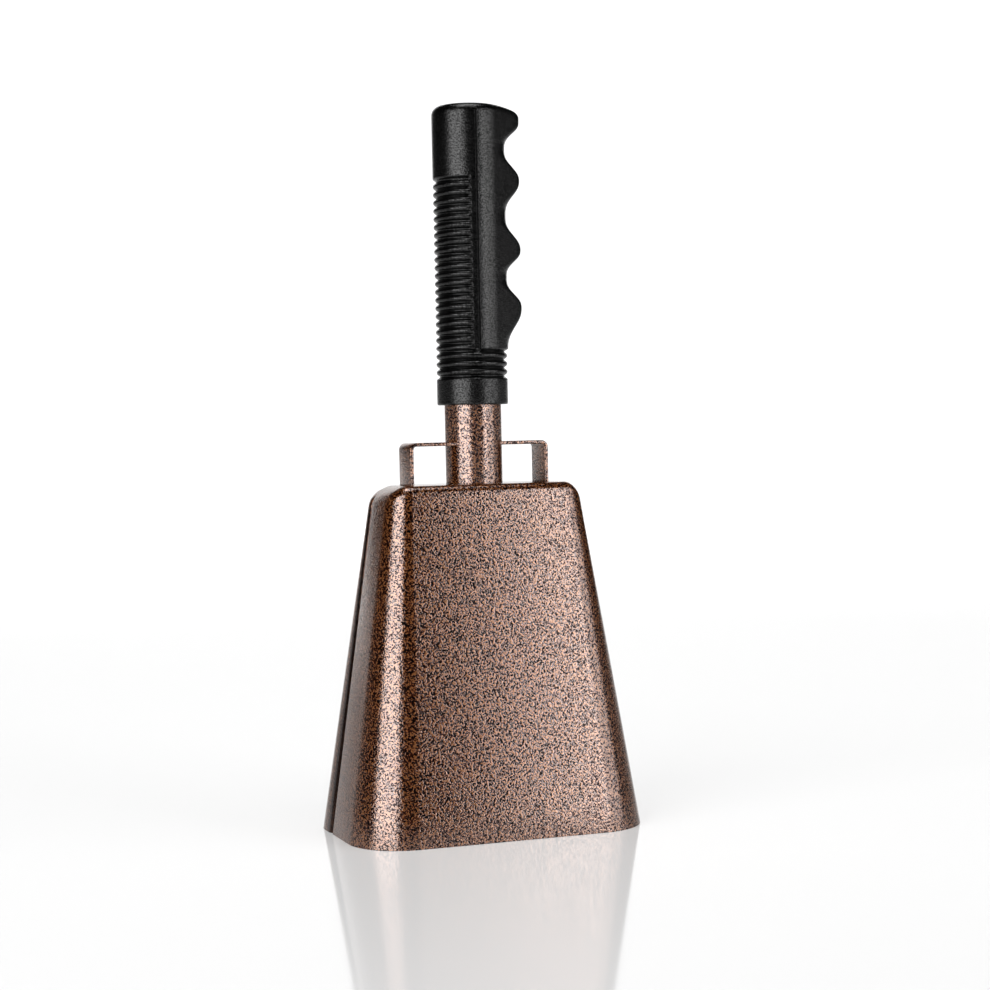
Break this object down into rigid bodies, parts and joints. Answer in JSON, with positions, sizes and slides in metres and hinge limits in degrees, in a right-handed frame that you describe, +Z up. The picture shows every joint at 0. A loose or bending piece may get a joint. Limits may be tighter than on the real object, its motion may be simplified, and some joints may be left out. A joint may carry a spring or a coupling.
{
  "type": "handheld cowbell",
  "caption": "Flared sheet-metal hand bell with lapped half shells, a strap bail, a tube handle with a moulded finger grip, and a clapper that swings inside.",
  "frame": {"origin": "middle of the bell's open mouth, on the plane the bell stands on", "axes": "+Z up along the handle tube, +X towards the finger side of the grip, -Y towards the front shell's broad face"},
  "size_m": [0.118, 0.0756, 0.2811],
  "materials": {
    "hammertone_copper": "glossy copper-brown hammertone enamel",
    "black_vinyl": "matte, fine leathery grain",
    "bare_steel": "dull plated"
  },
  "bodies": {
    "bell": {"front_shell": "hammertone_copper", "rear_shell": "hammertone_copper", "bail_strap": "hammertone_copper", "handle_tube": "hammertone_copper", "finger_grip": "black_vinyl", "clapper_staple": "bare_steel"},
    "link": {"clapper_link": "bare_steel"},
    "clapper": {"clapper_rod": "bare_steel", "clapper_ball": "bare_steel"}
  },
  "joints": [
    {"name": "link_swing", "type": "hinge", "parent": "bell", "child": "link", "pos_m": [0, 0, 0.1258], "axis": [1, 0, 0], "range_deg": [-13, 13]},
    {"name": "clapper_swing", "type": "hinge", "parent": "link", "child": "clapper", "pos_m": [0, 0, 0.1151], "axis": [0, 1, 0], "range_deg": [-29, 29]}
  ]
}
